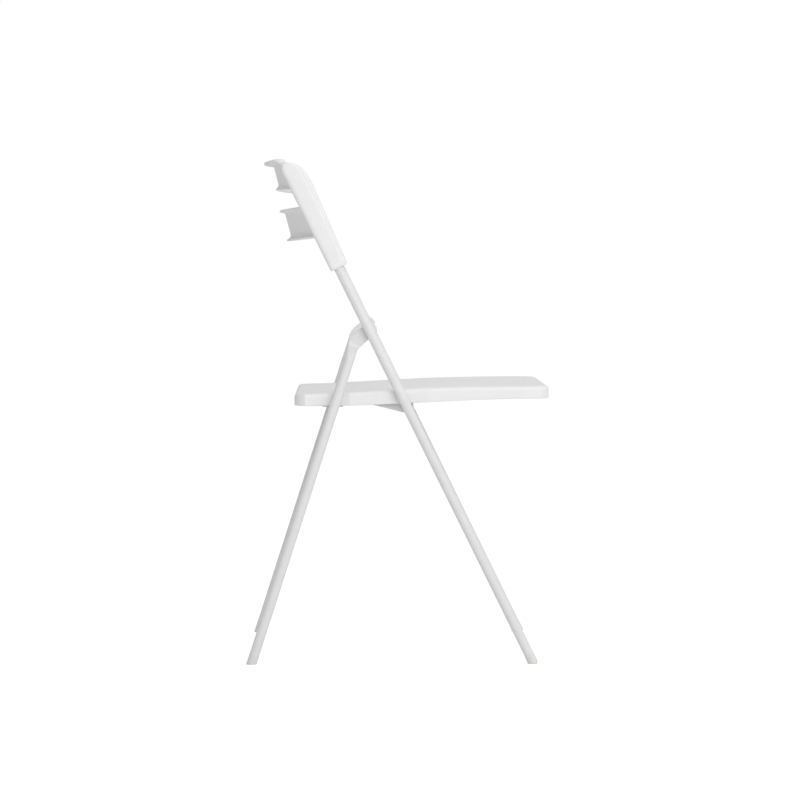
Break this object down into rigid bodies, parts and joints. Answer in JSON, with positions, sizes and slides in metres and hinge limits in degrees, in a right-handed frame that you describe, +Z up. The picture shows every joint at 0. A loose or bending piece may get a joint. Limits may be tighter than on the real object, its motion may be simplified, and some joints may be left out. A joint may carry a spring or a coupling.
{
  "type": "folding chair",
  "caption": "Folding chair with crossing tubular frames, a thin moulded seat and a slotted backrest; the rear legs and seat fold flat against the front frame.",
  "frame": {"origin": "on the floor, under the middle of the chair's bounding box when open", "axes": "+X towards the sitter's front, +Y towards the sitter's left, +Z up"},
  "size_m": [0.4916, 0.436, 0.8166],
  "materials": {
    "frame_paint": "satin white powder coat",
    "seat_plastic": "fine moulded texture, semi-matt white",
    "back_plastic": "fine moulded texture, semi-matt white",
    "foot_plastic": "smooth white plastic",
    "bracket_plastic": "moulded white plastic",
    "nylon": "natural nylon",
    "fastener_steel": "zinc-plated steel"
  },
  "bodies": {
    "front_frame": {"front_tube_left": "frame_paint", "front_tube_right": "frame_paint", "seat_pivot_bar": "frame_paint", "backrest": "back_plastic", "backrest_screws": "fastener_steel", "fold_pin_left": "fastener_steel", "fold_pin_right": "fastener_steel", "pivot_spacer_left": "nylon", "pivot_spacer_right": "nylon", "front_foot_left": "foot_plastic", "front_foot_right": "foot_plastic"},
    "rear_frame": {"rear_leg_left": "frame_paint", "rear_leg_right": "frame_paint", "rear_rod": "frame_paint", "rod_sleeve_left": "nylon", "rod_sleeve_right": "nylon", "rear_foot_left": "foot_plastic", "rear_foot_right": "foot_plastic"},
    "seat": {"seat_shell": "seat_plastic", "pivot_bracket_left": "bracket_plastic", "pivot_bracket_right": "bracket_plastic", "pivot_bush_left": "nylon", "pivot_bush_right": "nylon", "rod_rest_left": "bracket_plastic", "rod_rest_right": "bracket_plastic", "seat_screws": "fastener_steel"}
  },
  "joints": [
    {"name": "rear_leg_fold", "type": "hinge", "parent": "front_frame", "child": "rear_frame", "pos_m": [-0.04638, 0, 0.5402], "axis": [0, -1, 0], "range_deg": [0, 43.5]},
    {"name": "seat_fold", "type": "hinge", "parent": "front_frame", "child": "seat", "pos_m": [0.01581, 0, 0.4138], "axis": [0, 1, 0], "range_deg": [0, 62.6]}
  ],
  "couplings": [
    {"joint": "seat_fold", "follows": "rear_leg_fold", "ratio": 1.439}
  ]
}
